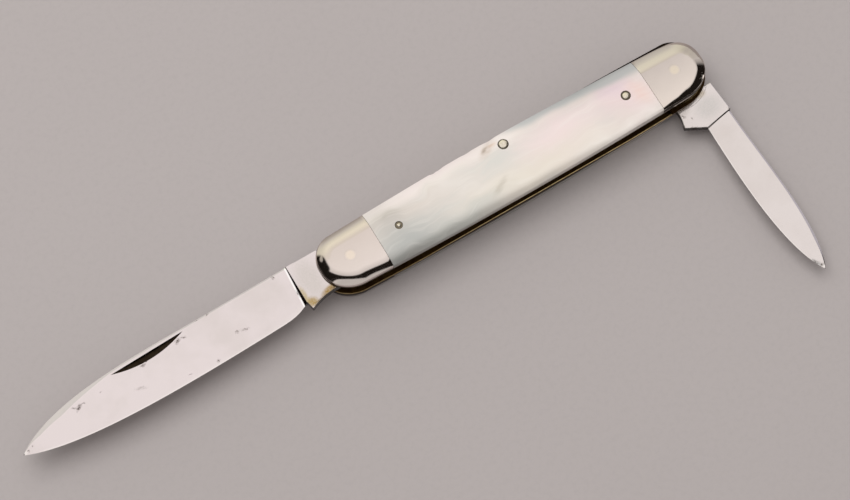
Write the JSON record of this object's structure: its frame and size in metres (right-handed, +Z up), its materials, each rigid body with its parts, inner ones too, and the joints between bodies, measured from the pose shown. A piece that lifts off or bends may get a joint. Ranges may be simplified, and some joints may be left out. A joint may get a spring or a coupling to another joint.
{
  "type": "folding pen knife",
  "caption": "Slim folding pen knife with pearl scales, metal bolsters, a long blade fully open at one end and a short blade half open at the other.",
  "frame": {"origin": "on the flat outer face of the back scale, level with the two pivots and midway between them", "axes": "+X along the handle from the main blade's end to the pen blade's end, +Y towards the spine, +Z up through the thickness from the back scale to the front scale"},
  "size_m": [0.147, 0.0533, 0.0089],
  "materials": {
    "pearl": "polished mother-of-pearl, whose density is that of stone",
    "liner_brass": "sheet brass, tarnished",
    "nickel_silver": "polished nickel silver, a silvery copper alloy",
    "spring_steel": "spring steel, dulled",
    "blade_steel": "polished carbon steel with light pitting",
    "pin_nickel": "nickel silver pin, peened"
  },
  "bodies": {
    "handle": {"front_scale": "pearl", "back_scale": "pearl", "front_liner": "liner_brass", "centre_liner": "liner_brass", "back_liner": "liner_brass", "front_main_bolster": "nickel_silver", "front_pen_bolster": "nickel_silver", "back_main_bolster": "nickel_silver", "back_pen_bolster": "nickel_silver", "main_spring": "spring_steel", "pen_spring": "spring_steel", "main_pivot_pin": "pin_nickel", "pen_pivot_pin": "pin_nickel", "spring_pin": "pin_nickel", "front_scale_pin_main": "pin_nickel", "front_scale_pin_pen": "pin_nickel", "back_scale_pin_main": "pin_nickel", "back_scale_pin_pen": "pin_nickel"},
    "main_blade": {"main_blade": "blade_steel"},
    "pen_blade": {"pen_blade": "blade_steel"}
  },
  "joints": [
    {"name": "main_blade_pivot", "type": "hinge", "parent": "handle", "child": "main_blade", "pos_m": [-0.03535, 0, 0.00535], "axis": [0, 0, 1], "range_deg": [0, 175.2], "deforming": ["main_spring"]},
    {"name": "pen_blade_pivot", "type": "hinge", "parent": "handle", "child": "pen_blade", "pos_m": [0.03535, 0, 0.00325], "axis": [0, 0, 1], "range_deg": [-89, 86.5], "deforming": ["pen_spring"]}
  ]
}
